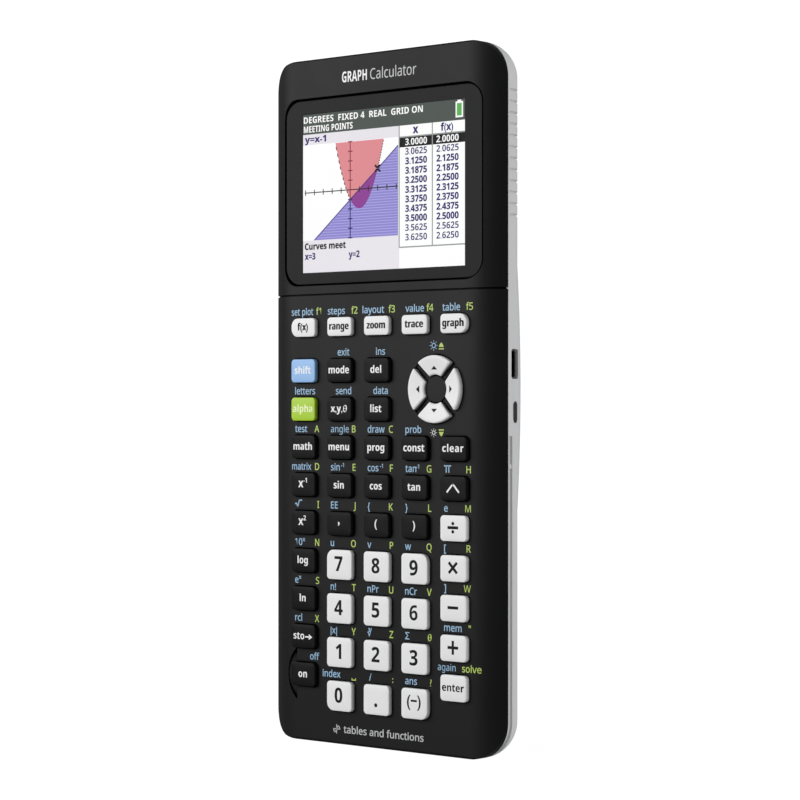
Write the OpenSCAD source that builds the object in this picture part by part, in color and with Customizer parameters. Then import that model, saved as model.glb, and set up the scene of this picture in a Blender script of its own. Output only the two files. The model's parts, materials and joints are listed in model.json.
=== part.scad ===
// Graphing calculator lying on its feet.
// +X is to the right of the keys, +Y towards the screen end, +Z out of the key face.
// The origin is on the rest plane, under the centre of the body.

/* [Body] */
// Overall length, from the bottom end to the screen end
body_length = 190.4; // [189:0.2:194]
// Overall width across the sides
body_width = 83.4; // [83:0.1:86]
// Corner radius in plan
corner_radius = 10; // [9.8:0.1:11]
// Depth of the rear case at its ends, from the parting line to the back
rear_depth = 10; // [9.9:0.1:10.2]
// Depth of the front case, from the key face to the parting line
front_depth = 4.2; // [4.2:0.1:4.5]
// Wall thickness of both cases
wall = 1.8; // [1.6:0.1:1.9]
// Height of the middle of the back above the rest plane
bulge_clearance = 0.2; // [0.1:0.1:0.3]
// How far the middle of the back swells out beyond the ends
bulge_rise = 1.5; // [1.2:0.1:1.6]
// Distance from the middle of the swelling to where it runs out
bulge_reach = 34; // [30:1:38]
// Place of the middle of the swelling along the length
bulge_y = 3; // [0:0.5:6]

/* [Front shape] */
// Half width of the flat key face, where the rounded shoulders begin
face_half_width = 31.2; // [30:0.1:31.5]
// Radius of the rounded shoulders along both sides
shoulder_radius = 16.3; // [16:0.1:17]
// Radius of the small rounding between a shoulder and the side
edge_radius = 0.8; // [0.6:0.1:1]
// Place of the seam groove across the front
seam_y = 29.4; // [28.8:0.2:30]
// Width and depth of the seam groove
seam_size = 0.5; // [0.3:0.1:0.6]

/* [Screen] */
// Width of the window
window_width = 71; // [70:0.5:71.5]
// Height of the window
window_height = 51.3; // [50:0.1:51.5]
// Place of the middle of the window along the length
window_y = 58.15; // [57.9:0.05:58.4]
// Corner radius of the window
window_corner = 5; // [4:0.5:6]
// Depth of the window's face below the key face
window_recess = 0.9; // [0.8:0.1:1]
// Thickness of the window
window_thickness = 1.1; // [1:0.1:1.2]
// Width of the lit picture
picture_width = 59; // [56:0.5:60]
// Height of the lit picture
picture_height = 44.2; // [42:0.2:44.6]

/* [Keys] */
// Spacing of the key columns
column_pitch = 13.65; // [13.5:0.05:13.7]
// Width of a key's top
key_width = 9; // [8.6:0.1:9.2]
// Extra width of the number keys
number_extra_width = 0.2; // [0:0.1:0.3]
// Height of a key's top above the key face
key_rise = 1.3; // [1:0.1:1.5]
// Gap between a key and the edge of its opening
key_gap = 0.25; // [0.2:0.05:0.3]
// Travel of a key
key_travel = 1; // [0.8:0.1:1.1]
// Outer radius of the arrow pad
arrow_outer_radius = 9.1; // [8.8:0.1:9.2]
// Inner radius of the arrow pad
arrow_inner_radius = 3.9; // [3.5:0.1:4]
// Width of the straight gaps between the arrow keys
arrow_gap = 2; // [1.6:0.1:2.2]
// Depth of the dish that the arrow keys share
arrow_dish = 0.6; // [0.3:0.1:0.8]

/* [Back] */
// Width of the battery cover
cover_width = 48; // [44:1:50]
// Length of the battery cover
cover_length = 62; // [58:1:64]
// Radius of the screws' shanks
screw_radius = 1; // [0.8:0.1:1.1]
// Radius of the four feet
foot_radius = 4; // [3:0.5:5]
// Radius of the reset button
reset_radius = 1.8; // [1.5:0.1:2]
// Travel of the reset button
reset_travel = 0.6; // [0.4:0.1:0.7]

/* [Side details] */
// Number of grip grooves on each side
grip_count = 12; // [6:1:12]
// Spacing of the grip grooves
grip_pitch = 3; // [2.5:0.1:3]
// Depth of the slide-on cover's rail groove
rail_depth = 0.7; // [0.5:0.1:0.8]
// Height of the rail groove
rail_height = 1.7; // [1.5:0.1:1.8]

/* [Hidden] */
$fn = 48;
half_width = body_width / 2;
half_length = body_length / 2;
back_z = bulge_clearance + bulge_rise;
parting_z = back_z + rear_depth;
face_z = parting_z + front_depth;
key_top_z = face_z + key_rise;
plate_z = face_z - wall;
eps = 0.01;
far = 400;

// Side rounding of the rear case
rear_arc = corner_radius - 0.6;
// The middle of the back follows a very large arc from side to side of the swelling
bulge_radius = (pow(bulge_reach, 2) + pow(bulge_rise, 2)) / (2 * bulge_rise);
bulge_angle = 1.25 * asin(bulge_reach / bulge_radius);
bulge_side_step = 0.1;

// Screen
window_gap = 0.6;
window_z = face_z - window_recess;
window_ledge = 3;
window_bottom_z = window_z - window_thickness;
frame_bottom_z = window_bottom_z - 0.8;
display_top_z = frame_bottom_z - 0.1;
display_depth = 3.2;

// Key stack
flange_lip = 0.7;
flange_thickness = 0.8;
flange_top_z = plate_z - 0.15;
board_z = back_z + 7.6;
board_thickness = 1.1;
sheet_z = board_z + board_thickness;
sheet_thickness = 0.6;
pressed_clearance = 0.55;
stem_z = sheet_z + sheet_thickness + pressed_clearance + key_travel;
dome_radius = 2.2;
arrow_x = 1.5 * column_pitch;
arrow_y = 2.85;
pad_recess = 0.3;

// Socket, light and rail on the sides
socket_y = 9.45;
socket_z = parting_z - 3.1;
socket_width = 7.9;
socket_height = 3.4;
socket_setback = 1.2;
light_y = -3.3;
light_z = parting_z - 3.3;
light_length = 5.8;
light_height = 2.1;
light_setback = 0.8;
rail_top_z = parting_z - 0.1;
rail_start_y = -9.6;
catch_y = -17.6;

// Bosses that take the case screws: [x, y]
boss_x = half_width - 11.5;
BOSSES = [
    for (sx = [-1, 1], y = [half_length - 6.6, seam_y - 2.3, 6.6 - half_length])
    [sx * boss_x, y]
];
boss_radius = 2.4;
boss_split_z = back_z + 6.2;
screw_head_radius = 2.1;
screw_head_height = 1.4;
screw_seat_z = back_z + 2;
cover_y = bulge_y;
cover_top_z = back_z + 1.6;
cover_screw_y = cover_y - cover_length / 2 + 5;
cover_screw_seat_z = back_z + 0.6;
foot_x = half_width - 11.5;
foot_y = half_length - 17;
reset_x = 29.5;
reset_y = -20;
reset_flange_z = back_z + 2.2;

// Keys: [name, column from -2 to 2, y, height, [corner radii: top left, top right, bottom right,
// bottom left], colour]
pale = "whitesmoke";
dark = "dimgray";
small_corner = 1.1;
big_corner = 2.3;
even = [small_corner, small_corner, small_corner, small_corner];
row_y = [20.3, 8.2, -2.5, -13.05, -23.6, -34.15];
side_row_y = [-44.8, -55.4, -66, -76.6];
number_row_y = [-45.45, -57.55, -69.65, -81.75];
thin = 5.2;
tall = 6.5;
KEYS = [
    ["key_fx", -2, row_y[0], thin, [big_corner, small_corner, small_corner, big_corner], pale],
    ["key_range", -1, row_y[0], thin, even, pale],
    ["key_zoom", 0, row_y[0], thin, even, pale],
    ["key_trace", 1, row_y[0], thin, even, pale],
    ["key_graph", 2, row_y[0], thin, [small_corner, big_corner, big_corner, small_corner], pale],
    ["key_shift", -2, row_y[1], tall, even, "lightskyblue"],
    ["key_mode", -1, row_y[1], tall, even, dark],
    ["key_delete", 0, row_y[1], tall, even, dark],
    ["key_alpha", -2, row_y[2], tall, even, "yellowgreen"],
    ["key_variable", -1, row_y[2], tall, even, dark],
    ["key_list", 0, row_y[2], tall, even, dark],
    ["key_math", -2, row_y[3], tall, even, dark],
    ["key_menu", -1, row_y[3], tall, even, dark],
    ["key_program", 0, row_y[3], tall, even, dark],
    ["key_constants", 1, row_y[3], tall, even, dark],
    ["key_clear", 2, row_y[3], tall, even, dark],
    ["key_inverse", -2, row_y[4], tall, even, dark],
    ["key_sine", -1, row_y[4], tall, even, dark],
    ["key_cosine", 0, row_y[4], tall, even, dark],
    ["key_tangent", 1, row_y[4], tall, even, dark],
    ["key_power", 2, row_y[4], tall, even, dark],
    ["key_square", -2, row_y[5], tall, even, dark],
    ["key_comma", -1, row_y[5], tall, even, dark],
    ["key_open_bracket", 0, row_y[5], tall, even, dark],
    ["key_close_bracket", 1, row_y[5], tall, even, dark],
    ["key_divide", 2, row_y[5], 6.9, even, pale],
    ["key_log", -2, side_row_y[0], 6.6, even, dark],
    ["key_ln", -2, side_row_y[1], 6.6, even, dark],
    ["key_store", -2, side_row_y[2], 6.6, even, dark],
    ["key_on", -2, side_row_y[3], 6.6, even, dark],
    ["key_multiply", 2, side_row_y[0], 7, even, pale],
    ["key_subtract", 2, side_row_y[1], 7, even, pale],
    ["key_add", 2, side_row_y[2], 7, even, pale],
    ["key_enter", 2, side_row_y[3], 7, even, pale],
    ["key_7", -1, number_row_y[0], 8.2, [big_corner, small_corner, small_corner, small_corner], pale],
    ["key_8", 0, number_row_y[0], 8.2, even, pale],
    ["key_9", 1, number_row_y[0], 8.2, [small_corner, big_corner, small_corner, small_corner], pale],
    ["key_4", -1, number_row_y[1], 8.2, even, pale],
    ["key_5", 0, number_row_y[1], 8.2, even, pale],
    ["key_6", 1, number_row_y[1], 8.2, even, pale],
    ["key_1", -1, number_row_y[2], 8.2, even, pale],
    ["key_2", 0, number_row_y[2], 8.2, even, pale],
    ["key_3", 1, number_row_y[2], 8.2, even, pale],
    ["key_0", -1, number_row_y[3], 8.2, [small_corner, small_corner, small_corner, big_corner], pale],
    ["key_point", 0, number_row_y[3], 8.2, even, pale],
    ["key_negative", 1, number_row_y[3], 8.2, [small_corner, small_corner, big_corner, small_corner], pale]
];
// Arrow keys of the round pad: [name, direction in degrees]
ARROWS = [["arrow_right", 0], ["arrow_up", 90], ["arrow_left", 180], ["arrow_down", 270]];

function key_name(k) = k[0];
function key_x(k) = k[1] * column_pitch;
function key_y(k) = k[2];
function key_height(k) = k[3];
function key_cap_width(k) = key_height(k) > 8 ? key_width + number_extra_width : key_width;

// ---- Shared outlines ----

// A rectangle centred on the origin with four equal corner radii
module rounded_rectangle(w, l, r) {
    square([w - 2 * r, l], center = true);
    square([w, l - 2 * r], center = true);
    for (sx = [-1, 1], sy = [-1, 1])
        translate([sx * (w / 2 - r), sy * (l / 2 - r)])
            circle(r);
}

// A rectangle with its own radius at each corner, clockwise from the top left; grow widens it
module key_outline(w, h, radii, grow) {
    a = w / 2 + grow;
    b = h / 2 + grow;
    tl = radii[0] + grow;
    tr = radii[1] + grow;
    br = radii[2] + grow;
    bl = radii[3] + grow;
    polygon([[-a + tl, b], [a - tr, b], [a, b - tr], [a, -b + br],
             [a - br, -b], [-a + bl, -b], [-a, -b + bl], [-a, b - tl]]);
    translate([-a + tl, b - tl]) circle(tl);
    translate([a - tr, b - tr]) circle(tr);
    translate([a - br, -b + br]) circle(br);
    translate([-a + bl, -b + bl]) circle(bl);
}

// One arrow key: a quarter of a ring with straight sides; grow widens it all round
module arrow_outline(grow, outer, inner) {
    apex = (arrow_gap / 2 - grow) * sqrt(2);
    intersection() {
        difference() {
            circle(outer + grow);
            circle(inner - grow);
        }
        polygon([[apex, 0], [apex + 20, 20], [apex + 20, -20]]);
    }
}

// ---- Case shapes ----

// Section of the rear case's side: x outwards from the corner centre, y upwards from the back
module rear_side_section(plan_radius, arc, depth) {
    flat = plan_radius - arc;
    square([flat, depth]);
    translate([0, arc])
        square([plan_radius, depth - arc]);
    intersection() {
        translate([flat, arc]) circle(arc);
        translate([flat, 0]) square([arc, arc + eps]);
    }
}

// A tray with the rear section all the way round
module tray(w, l, plan_radius, arc, depth) {
    a = w / 2 - plan_radius;
    b = l / 2 - plan_radius;
    translate([-a, -b, 0])
        cube([2 * a, 2 * b, depth]);
    for (side = [0, 1])
        mirror([side, 0, 0])
            translate([a, 0, 0])
                rotate([90, 0, 0])
                    linear_extrude(2 * b, center = true)
                        rear_side_section(plan_radius, arc, depth);
    for (end = [0, 1])
        mirror([0, end, 0])
            translate([0, b, 0])
                rotate([90, 0, 90])
                    linear_extrude(2 * a, center = true)
                        rear_side_section(plan_radius, arc, depth);
    for (sx = [0, 1], sy = [0, 1])
        mirror([sx, 0, 0])
            mirror([0, sy, 0])
                translate([a, b, 0])
                    rotate_extrude(angle = 90)
                        rear_side_section(plan_radius, arc, depth);
}

// The swelling of the back: the same side section swept along a very large arc, a little narrower
// than the tray so that the two blend along a clean line, and kept below the parting line
module bulge(inset) {
    r = bulge_radius - inset;
    arc = rear_arc - inset;
    w = half_width - bulge_side_step - inset;
    intersection() {
        translate([0, bulge_y, bulge_clearance + bulge_radius])
            rotate([0, 90, 0])
                rotate([0, 0, -bulge_angle])
                    rotate_extrude(angle = 2 * bulge_angle, $fn = 360) {
                        translate([r - arc - eps, -(w - arc)])
                            square([arc + eps, 2 * (w - arc)]);
                        for (side = [-1, 1])
                            intersection() {
                                translate([r - arc, side * (w - arc)]) circle(arc, $fn = 48);
                                translate([r - arc, side > 0 ? w - arc - eps : -w])
                                    square([arc, arc + eps]);
                            }
                    }
        translate([-far / 2, -far / 2, -1])
            cube([far, far, parting_z - bulge_side_step + 1]);
    }
}

module rear_outer(inset = 0) {
    translate([0, 0, back_z + inset])
        tray(body_width - 2 * inset, body_length - 2 * inset, corner_radius - inset,
             rear_arc - inset, rear_depth - inset + (inset > 0 ? 1 : 0));
    bulge(inset);
}

// Section across the front case: flat face, rounded shoulders and a small edge rounding
module front_section(inset) {
    big = shoulder_radius - inset;
    w = half_width - inset;
    top = face_z - inset;
    big_z = face_z - shoulder_radius;
    edge_x = half_width - edge_radius;
    edge_z = big_z + sqrt(pow(shoulder_radius - edge_radius, 2) - pow(edge_x - face_half_width, 2));
    bottom = parting_z - (inset > 0 ? 1 : 0);
    for (side = [0, 1])
        mirror([side, 0, 0]) {
            translate([0, bottom])
                square([face_half_width, top - bottom]);
            intersection() {
                translate([face_half_width, big_z]) circle(big, $fn = 200);
                translate([face_half_width - eps, bottom])
                    square([min(edge_x, w) - face_half_width + eps, top - bottom]);
            }
            if (inset < edge_radius) {
                translate([edge_x - eps, bottom])
                    square([edge_radius - inset + eps, max(edge_z - bottom, eps)]);
                intersection() {
                    translate([edge_x, edge_z]) circle(edge_radius - inset);
                    translate([edge_x - eps, edge_z]) square(edge_radius);
                }
                intersection() {
                    translate([face_half_width, big_z]) circle(big, $fn = 200);
                    polygon([[edge_x, edge_z],
                             [edge_x, top],
                             [face_half_width + (edge_x - face_half_width) * 1.3,
                              big_z + (edge_z - big_z) * 1.3]]);
                }
            }
        }
}

// Upright section of the front case's ends, from the corner centre outwards
module end_section(plan_radius, depth) {
    square([plan_radius - edge_radius, depth]);
    square([plan_radius, depth - edge_radius]);
    translate([plan_radius - edge_radius, depth - edge_radius])
        circle(edge_radius);
}

module front_plan_block() {
    a = half_width - corner_radius;
    b = half_length - corner_radius;
    translate([0, 0, parting_z]) {
        translate([-a, -b, 0])
            cube([2 * a, 2 * b, front_depth]);
        for (end = [0, 1])
            mirror([0, end, 0])
                translate([0, b, 0])
                    rotate([90, 0, 90])
                        linear_extrude(2 * a, center = true)
                            end_section(corner_radius, front_depth);
        for (side = [-1, 1])
            translate([side * (a + corner_radius / 2), 0, front_depth / 2])
                cube([corner_radius + eps, 2 * b, front_depth], center = true);
        for (sx = [0, 1], sy = [0, 1])
            mirror([sx, 0, 0])
                mirror([0, sy, 0])
                    translate([a, b, 0])
                        rotate_extrude(angle = 90)
                            end_section(corner_radius, front_depth);
    }
}

module front_outer() {
    intersection() {
        rotate([90, 0, 0])
            linear_extrude(body_length + 1, center = true)
                front_section(0);
        front_plan_block();
    }
}

module front_cavity() {
    intersection() {
        rotate([90, 0, 0])
            linear_extrude(body_length, center = true)
                front_section(wall);
        translate([0, 0, parting_z - 1])
            linear_extrude(front_depth + 1)
                rounded_rectangle(body_width - 2 * wall, body_length - 2 * wall, corner_radius - wall);
    }
}

// A groove cut across the front face and over both sides
module seam_groove() {
    difference() {
        translate([-half_width - 1, seam_y - seam_size / 2, parting_z - eps])
            cube([body_width + 2, seam_size, front_depth + 1]);
        rotate([90, 0, 0])
            linear_extrude(body_length, center = true)
                front_section(seam_size);
    }
}

// A thin skirt under the front case that drops inside the rear case; its top stays inside the
// thickness of the rounded shoulders
module front_skirt() {
    skirt_gap = 0.15;
    skirt_thickness = 1;
    skirt_drop = 1.6;
    outer = wall + skirt_gap;
    inner = outer + skirt_thickness;
    difference() {
        intersection() {
            translate([0, 0, parting_z - skirt_drop])
                linear_extrude(skirt_drop + front_depth - wall)
                    difference() {
                        rounded_rectangle(body_width - 2 * outer, body_length - 2 * outer,
                                          corner_radius - outer);
                        rounded_rectangle(body_width - 2 * inner, body_length - 2 * inner,
                                          corner_radius - inner);
                    }
            rotate([90, 0, 0])
                linear_extrude(body_length, center = true) {
                    front_section(wall / 2);
                    translate([-half_width, parting_z - 2 * skirt_drop])
                        square([body_width, 2 * skirt_drop + 0.4]);
                }
        }
        translate([half_width - 2 * inner, light_y - 6, parting_z - skirt_drop - 1])
            cube([2 * inner, socket_y - light_y + 13, skirt_drop + 1.2]);
    }
}

// Everything the keys need cut through the face
module key_openings() {
    for (k = KEYS)
        translate([key_x(k), key_y(k), parting_z - 2])
            linear_extrude(front_depth + 4)
                key_outline(key_cap_width(k), key_height(k), k[4], key_gap);
    translate([arrow_x, arrow_y, 0]) {
        for (a = ARROWS)
            translate([0, 0, parting_z - 2])
                linear_extrude(front_depth + 4)
                    rotate(a[1])
                        arrow_outline(key_gap, arrow_outer_radius, arrow_inner_radius);
        translate([0, 0, face_z - pad_recess])
            linear_extrude(front_depth)
                difference() {
                    circle(arrow_outer_radius + key_gap + 0.1);
                    circle(arrow_inner_radius - key_gap - 0.1);
                }
    }
}

// A scooped pocket beside the on key, sloping down from its rounded outer edge
module on_key_scoop() {
    scoop_radius = 9.1;
    scoop_x = -25.2;
    inner_x = -30.6;
    outer_x = scoop_x - scoop_radius;
    inner_depth = 1.2;
    outer_depth = 0.5;
    slope = (inner_depth - outer_depth) / (inner_x - outer_x);
    intersection() {
        translate([scoop_x, side_row_y[3], parting_z])
            linear_extrude(front_depth + 1)
                circle(scoop_radius);
        translate([0, side_row_y[3], face_z])
            rotate([90, 0, 0])
                linear_extrude(4 * scoop_radius, center = true)
                    polygon([[outer_x - 1, slope - outer_depth], [inner_x, -inner_depth],
                             [inner_x, 1], [outer_x - 1, 1]]);
    }
}

module front_case() {
    color("dimgray")
    difference() {
        union() {
            difference() {
                front_outer();
                front_cavity();
            }
            // frame that carries the window and the display
            translate([0, window_y, frame_bottom_z])
                linear_extrude(plate_z - frame_bottom_z + eps)
                    square([window_width + 2 * window_gap + 1.6, window_height + 4], center = true);
            front_skirt();
            for (b = BOSSES)
                translate([b[0], b[1], boss_split_z + 0.1])
                    cylinder(r = boss_radius, h = plate_z - boss_split_z + 0.2);
        }
        seam_groove();
        key_openings();
        on_key_scoop();
        translate([0, window_y, window_bottom_z])
            linear_extrude(far / 10)
                rounded_rectangle(window_width + 2 * window_gap, window_height + 2 * window_gap,
                                  window_corner + window_gap);
        translate([0, window_y, frame_bottom_z - 1])
            linear_extrude(far / 10)
                rounded_rectangle(window_width - 2 * window_ledge, window_height - 2 * window_ledge, 1);
        for (b = BOSSES)
            translate([b[0], b[1], boss_split_z])
                cylinder(r = screw_radius + 0.05, h = 5);
    }
}

// Grip grooves along both sides near the screen, following the rounded side
module grip_grooves() {
    groove_width = 0.6;
    groove_depth = 0.4;
    groove_top_z = parting_z - 0.9;
    first_y = 81.8;
    arc_x = half_width - rear_arc;
    arc_z = back_z + rear_arc;
    for (side = [0, 1], i = [0 : grip_count - 1])
        mirror([side, 0, 0])
            translate([0, first_y - i * grip_pitch, 0])
                rotate([90, 0, 0])
                    linear_extrude(groove_width, center = true) {
                        translate([half_width - groove_depth, arc_z - eps])
                            square([2, groove_top_z - arc_z]);
                        intersection() {
                            difference() {
                                translate([arc_x, arc_z]) circle(rear_arc + 2);
                                translate([arc_x, arc_z]) circle(rear_arc - groove_depth);
                            }
                            polygon([[arc_x, arc_z], [arc_x + 40, arc_z], [arc_x + 40, arc_z - 66]]);
                        }
                    }
}

// Rail groove for the slide-on cover: along both sides and round the bottom end
module rail_groove() {
    difference() {
        translate([0, 0, rail_top_z - rail_height])
            linear_extrude(rail_height)
                difference() {
                    translate([-half_width - 1, -half_length - 1])
                        square([body_width + 2, half_length + 1 + rail_start_y]);
                    rounded_rectangle(body_width - 2 * rail_depth, body_length - 2 * rail_depth,
                                      corner_radius - rail_depth);
                }
        // small catch that the cover clicks over
        for (side = [-1, 1])
            translate([side * (half_width - rail_depth - 0.6), catch_y, rail_top_z - rail_height - 1])
                cylinder(r = 1.1, h = rail_height + 2);
    }
}

module stadium(length, height) {
    square([length - height, height], center = true);
    for (s = [-1, 1])
        translate([s * (length - height) / 2, 0])
            circle(height / 2);
}

// Places a flat shape on the right side, facing outwards
module on_right_side(y, z, depth) {
    translate([half_width - depth, y, z])
        rotate([90, 0, 90])
            linear_extrude(depth + 5)
                children();
}

module rear_case() {
    color("gainsboro")
    difference() {
        union() {
            difference() {
                rear_outer();
                rear_outer(wall);
            }
            // frame round the battery
            intersection() {
                rear_outer();
                translate([0, cover_y, 0])
                    linear_extrude(cover_top_z + 1)
                        square([cover_width + 4, cover_length + 4], center = true);
            }
            for (b = BOSSES)
                translate([b[0], b[1], back_z + 0.5])
                    cylinder(r = boss_radius, h = boss_split_z - back_z - 0.5);
            for (sx = [-1, 1], sy = [-1, 1])
                translate([sx * foot_x, sy * foot_y, 0])
                    cylinder(r = foot_radius, h = back_z + 0.5);
        }
        translate([0, cover_y, -1])
            linear_extrude(cover_top_z + 1)
                rounded_rectangle(cover_width, cover_length, 4);
        // way through to the battery, leaving a ledge for the cover and a tab for its screw
        translate([0, cover_y + 4, -1])
            linear_extrude(back_z + 8)
                rounded_rectangle(cover_width - 4, cover_length - 12, 2);
        translate([0, cover_screw_y, 0])
            cylinder(r = screw_radius + 0.05, h = back_z + 8);
        for (b = BOSSES)
            translate([b[0], b[1], -1]) {
                cylinder(r = screw_radius + 0.15, h = parting_z);
                cylinder(r = screw_head_radius + 0.2, h = screw_seat_z + 1);
            }
        translate([reset_x, reset_y, -1])
            cylinder(r = reset_radius + 0.2, h = back_z + 8);
        grip_grooves();
        rail_groove();
        on_right_side(socket_y, socket_z, wall + 1)
            rounded_rectangle(socket_width, socket_height, 0.8);
        on_right_side(light_y, light_z, wall + 1)
            stadium(light_length, light_height);
    }
}

module screen_window() {
    color("darkslategray")
    translate([0, window_y, window_bottom_z])
        linear_extrude(window_thickness)
            rounded_rectangle(window_width, window_height, window_corner);
}

// Glass, light guide and metal tray of the display
module display_module() {
    module_margin = 2.2;
    glass_depth = 1.2;
    w = picture_width + 2 * module_margin;
    l = picture_height + 2 * module_margin;
    color("slategray")
    translate([0, window_y - 0.3, display_top_z - display_depth]) {
        linear_extrude(display_depth - glass_depth)
            rounded_rectangle(w, l, 0.6);
        translate([0, 0, display_depth - glass_depth])
            linear_extrude(glass_depth)
                rounded_rectangle(w - 0.6, l - 0.6, 0.5);
    }
}

// Rubber sheet with one dome under each key
module keypad_membrane() {
    dome_top_z = stem_z - 0.02;
    dome_height = dome_top_z - sheet_z;
    color("lightgray") {
        translate([0, (number_row_y[3] + row_y[0]) / 2, sheet_z])
            linear_extrude(sheet_thickness)
                rounded_rectangle(4 * column_pitch + key_width, row_y[0] - number_row_y[3] + 8, 2);
        for (k = KEYS)
            translate([key_x(k), key_y(k), sheet_z])
                cylinder(r1 = dome_radius, r2 = dome_radius * 0.6, h = dome_height);
        for (a = ARROWS)
            translate([arrow_x + 6.4 * cos(a[1]), arrow_y + 6.4 * sin(a[1]), sheet_z])
                cylinder(r1 = dome_radius, r2 = dome_radius * 0.6, h = dome_height);
    }
}

// Circuit board with its chips, socket, light lens and reset switch as separate solids
module main_board() {
    board_half_width = half_width - 10.5;
    board_top_y = seam_y - 5.2;
    board_bottom_y = 9.5 - half_length;
    tab_x = half_width - wall - 2.4;
    notch = socket_width + 0.4;
    chip_z = board_z - 0.9;
    color("darkgreen")
    difference() {
        translate([0, 0, board_z])
            linear_extrude(board_thickness) {
                translate([-board_half_width, board_bottom_y])
                    square([2 * board_half_width, board_top_y - board_bottom_y]);
                translate([0, light_y - 4])
                    square([tab_x, socket_y - light_y + 10]);
            }
        translate([tab_x - 5, socket_y - notch / 2, board_z - 1])
            cube([far, notch, board_thickness + 2]);
    }
    color("silver")
    translate([tab_x - 4.8, socket_y, socket_z])
        rotate([90, 0, 90])
            difference() {
                linear_extrude(half_width - socket_setback - tab_x + 4.8)
                    rounded_rectangle(socket_width - 0.3, socket_height - 0.3, 0.7);
                translate([0, 0, 1])
                    linear_extrude(20)
                        rounded_rectangle(socket_width - 1, socket_height - 1, 0.4);
            }
    color("black")
    translate([tab_x + 0.1, light_y, light_z])
        rotate([90, 0, 90])
            linear_extrude(half_width - light_setback - tab_x - 0.1)
                stadium(light_length - 0.3, light_height - 0.3);
    color("black")
    for (chip = [[-18, -62, 12], [12, -66, 10], [20, -46, 7]])
        translate([chip[0], chip[1], chip_z + 0.45])
            cube([chip[2], chip[2], 0.9], center = true);
    color("black")
    translate([reset_x - 1.6, reset_y - 1.6, board_z - 1.4])
        cube([3.2, 3.2, 1.4]);
}

module battery_pack() {
    battery_depth = board_z - 1.1 - cover_top_z;
    color("steelblue")
    translate([0, cover_y + 4, cover_top_z + 0.1])
        linear_extrude(battery_depth)
            rounded_rectangle(cover_width - 6, cover_length - 14, 1.5);
}

module battery_cover() {
    cover_gap = 0.2;
    color("gainsboro")
    difference() {
        intersection() {
            rear_outer();
            translate([0, cover_y, -1])
                linear_extrude(cover_top_z + 1 - 0.02)
                    rounded_rectangle(cover_width - 2 * cover_gap, cover_length - 2 * cover_gap,
                                      4 - cover_gap);
        }
        translate([0, cover_screw_y, -1]) {
            cylinder(r = screw_radius + 0.15, h = back_z + 8);
            cylinder(r = screw_head_radius + 0.2, h = cover_screw_seat_z + 1);
        }
    }
}

// A pan-head screw pointing up, with its head's seat at the origin
module screw(shank) {
    recess_depth = 0.8;
    difference() {
        union() {
            cylinder(r = screw_radius, h = shank);
            translate([0, 0, -screw_head_height])
                cylinder(r = screw_head_radius, h = screw_head_height);
        }
        for (turn = [0, 90])
            rotate(turn)
                translate([0, 0, -screw_head_height])
                    cube([2.4, 0.5, 2 * recess_depth], center = true);
    }
}

module screws() {
    color("silver") {
        for (b = BOSSES)
            translate([b[0], b[1], screw_seat_z])
                screw(boss_split_z + 4 - screw_seat_z);
        translate([0, cover_screw_y, cover_screw_seat_z])
            screw(2);
    }
}

module reset_button() {
    recess = 0.5;
    color("dimgray")
    translate([reset_x, reset_y, 0]) {
        translate([0, 0, back_z - 0.6 + recess])
            cylinder(r = reset_radius, h = reset_flange_z - back_z + 0.6 - recess);
        translate([0, 0, reset_flange_z])
            cylinder(r = reset_radius + 1, h = 0.8);
        translate([0, 0, reset_flange_z + 0.8])
            cylinder(r = 0.9, h = board_z - 1.4 - reset_travel - 0.1 - reset_flange_z - 0.8);
    }
}

// ---- Keys ----

// A key: cap, the flange that holds it under the face and the stem that presses its dome
module key(k) {
    color(k[5])
    translate([key_x(k), key_y(k), 0]) {
        translate([0, 0, flange_top_z - flange_thickness])
            linear_extrude(key_top_z - flange_top_z + flange_thickness)
                key_outline(key_cap_width(k), key_height(k), k[4], 0);
        translate([0, 0, flange_top_z - flange_thickness])
            linear_extrude(flange_thickness)
                key_outline(key_cap_width(k), key_height(k), k[4], flange_lip);
        translate([0, 0, stem_z])
            cylinder(r = dome_radius * 0.6, h = flange_top_z - stem_z);
    }
}

// The arrow keys' tops slope down towards the middle of the pad, inside a flat rim
module arrow_key(a) {
    rim = 0.8;
    dish_outer = arrow_outer_radius - rim;
    dish_slope = arrow_dish / (dish_outer - arrow_inner_radius);
    dish_start = arrow_inner_radius - 1;
    dish_end = dish_outer + 1;
    color(pale)
    translate([arrow_x, arrow_y, 0])
        rotate(a[1]) {
            difference() {
                translate([0, 0, flange_top_z - flange_thickness])
                    linear_extrude(key_top_z - flange_top_z + flange_thickness)
                        arrow_outline(0, arrow_outer_radius, arrow_inner_radius);
                translate([0, 0, key_top_z - arrow_dish - dish_slope])
                    cylinder(r1 = dish_start, r2 = dish_end, h = dish_slope * (dish_end - dish_start));
            }
            translate([0, 0, flange_top_z - flange_thickness])
                linear_extrude(flange_thickness)
                    arrow_outline(0, arrow_outer_radius + flange_lip, arrow_inner_radius - flange_lip);
            translate([6.4, 0, stem_z])
                cylinder(r = dome_radius * 0.6, h = flange_top_z - stem_z);
        }
}

front_case();
rear_case();
screen_window();
display_module();
keypad_membrane();
main_board();
battery_pack();
battery_cover();
screws();
reset_button();
for (k = KEYS)
    key(k);
for (a = ARROWS)
    arrow_key(a);
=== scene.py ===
import json
import math

import bmesh
import bpy
from mathutils import Matrix, Vector


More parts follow.
